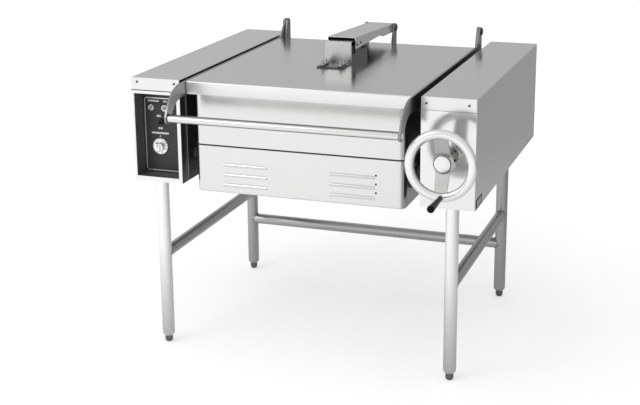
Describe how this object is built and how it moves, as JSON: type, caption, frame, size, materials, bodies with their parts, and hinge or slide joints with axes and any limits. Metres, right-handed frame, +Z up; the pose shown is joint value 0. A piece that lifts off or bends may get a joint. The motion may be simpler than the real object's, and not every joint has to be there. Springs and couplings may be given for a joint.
{
  "type": "tilting bratt pan",
  "caption": "Electric tilting bratt pan: a lidded pan on trunnions between two consoles on a tubular stand, tilted by a handwheel through a worm drive.",
  "frame": {"origin": "on the floor under the middle of the machine's bounding box", "axes": "+X to the right seen from the operator's side, +Y to the rear, +Z up"},
  "size_m": [1.163, 1.2244, 0.998],
  "materials": {
    "tube": "satin",
    "sheet": "brushed",
    "dark_sheet": "satin",
    "bracket": "satin",
    "vessel": "satin",
    "black": "glossy",
    "chrome": "polished",
    "knob": "satin",
    "lamp_lens": "glossy",
    "foot": "satin",
    "cast_iron": "matte",
    "machined": "machined",
    "bronze": "machined",
    "polished_aluminium": "polished",
    "grip": "glossy",
    "element": "oxidised",
    "spring": "satin"
  },
  "bodies": {
    "stand": {"leg_front_left": "tube", "leg_front_right": "tube", "leg_rear_left": "tube", "leg_rear_right": "tube", "side_rail_left": "tube", "side_rail_right": "tube", "rear_rail": "tube", "base_tray_left": "bracket", "base_tray_right": "bracket", "cross_channel": "bracket", "console_cover_left": "sheet", "console_cover_right": "sheet", "inner_wall_left": "dark_sheet", "inner_wall_right": "dark_sheet", "drive_front_panel": "sheet", "control_front_frame": "sheet", "recess_box": "black", "control_plate": "black", "control_trim": "chrome", "thermostat_body": "black", "power_switch": "black", "pilot_lamp_power": "lamp_lens", "pilot_lamp_heat": "lamp_lens", "contactor": "black", "bearing_left": "cast_iron", "bearing_right": "cast_iron", "worm_bracket": "cast_iron", "shaft_collar": "machined"},
    "pan": {"pan_shell": "vessel", "pan_jacket": "sheet", "heater_box": "sheet", "heating_elements": "element", "thermostat_bulb": "machined", "trunnion_left": "machined", "trunnion_right": "machined", "worm_wheel": "bronze", "hinge_bracket_left": "bracket", "hinge_bracket_right": "bracket", "balance_clevis": "bracket"},
    "lid": {"lid_panel": "sheet", "lid_ribs": "sheet", "lid_arm_left": "bracket", "lid_arm_right": "bracket", "handle_bar": "tube", "balance_channel": "sheet", "balance_bracket": "sheet", "balance_spring": "spring"},
    "handwheel": {"handwheel": "polished_aluminium", "worm_shaft": "machined", "worm": "machined", "crank_pin": "machined"},
    "crank_grip": {"crank_grip": "grip"},
    "thermostat_knob": {"thermostat_knob": "knob"},
    "power_switch_lever": {"power_switch_lever": "chrome"},
    "foot_front_left": {"foot_front_left": "foot"},
    "foot_front_right": {"foot_front_right": "foot"},
    "foot_rear_left": {"foot_rear_left": "foot"},
    "foot_rear_right": {"foot_rear_right": "foot"}
  },
  "joints": [
    {"name": "pan_tilt", "type": "hinge", "parent": "stand", "child": "pan", "pos_m": [-0.0165, -0.2428, 0.652], "axis": [1, 0, 0], "range_deg": [0, 90]},
    {"name": "handwheel_turn", "type": "hinge", "parent": "stand", "child": "handwheel", "pos_m": [0.4735, -0.4528, 0.742], "axis": [0, 1, 0], "range_deg": [0, 3240]},
    {"name": "crank_grip_spin", "type": "hinge", "parent": "handwheel", "child": "crank_grip", "pos_m": [0.47678, -0.5528, 0.64806], "axis": [0, 1, 0], "continuous": true},
    {"name": "lid_hinge", "type": "hinge", "parent": "pan", "child": "lid", "pos_m": [-0.0165, 0.5392, 0.961], "axis": [-1, 0, 0], "range_deg": [0, 88]},
    {"name": "thermostat_turn", "type": "hinge", "parent": "stand", "child": "thermostat_knob", "pos_m": [-0.5145, -0.3028, 0.676], "axis": [0, 1, 0], "range_deg": [0, 300]},
    {"name": "power_switch_throw", "type": "hinge", "parent": "stand", "child": "power_switch_lever", "pos_m": [-0.5085, -0.2963, 0.758], "axis": [-1, 0, 0], "range_deg": [0, 26]},
    {"name": "foot_front_left_screw", "type": "slide", "parent": "stand", "child": "foot_front_left", "axis": [0, 0, -1], "range_m": [0, 0.025]},
    {"name": "foot_front_right_screw", "type": "slide", "parent": "stand", "child": "foot_front_right", "axis": [0, 0, -1], "range_m": [0, 0.025]},
    {"name": "foot_rear_left_screw", "type": "slide", "parent": "stand", "child": "foot_rear_left", "axis": [0, 0, -1], "range_m": [0, 0.025]},
    {"name": "foot_rear_right_screw", "type": "slide", "parent": "stand", "child": "foot_rear_right", "axis": [0, 0, -1], "range_m": [0, 0.025]}
  ],
  "couplings": [
    {"joint": "handwheel_turn", "follows": "pan_tilt", "ratio": 36}
  ]
}
